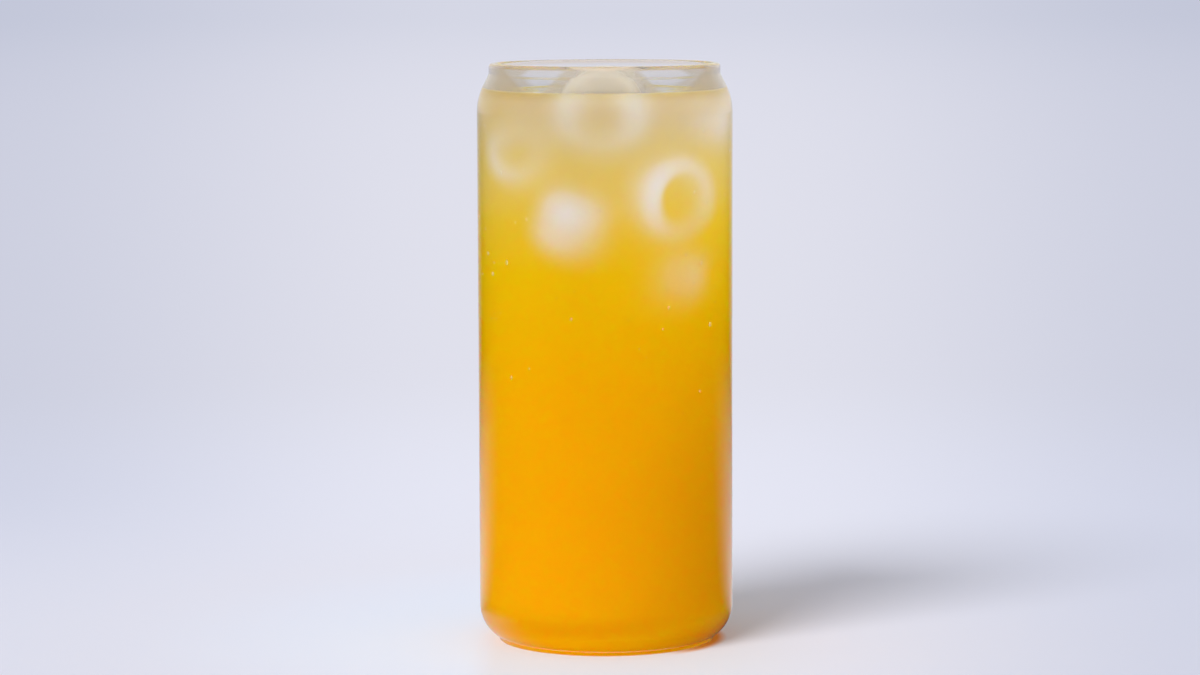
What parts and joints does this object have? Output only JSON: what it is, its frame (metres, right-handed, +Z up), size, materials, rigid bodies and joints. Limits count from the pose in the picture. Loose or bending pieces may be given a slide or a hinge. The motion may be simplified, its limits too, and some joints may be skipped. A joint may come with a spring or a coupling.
{
  "type": "glass of passion fruit drink",
  "caption": "Tall can-shaped glass tumbler, misted over its upper half, full of passion fruit drink with hollow tube ice; stands on its foot ring.",
  "frame": {"origin": "middle of the foot ring, on the surface that the glass stands on", "axes": "+Z up along the axis of the glass, -Y towards the viewer, +X to the viewer's right"},
  "size_m": [0.066, 0.066, 0.15],
  "materials": {
    "glass": "clear, misted with fine condensation above mid height",
    "drink": "cloudy liquid, glossy surface, palest at the top",
    "ice": "wet, translucent"
  },
  "bodies": {
    "root": {"glass": "glass", "drink": "drink", "ice_top": "ice"}
  },
  "joints": []
}
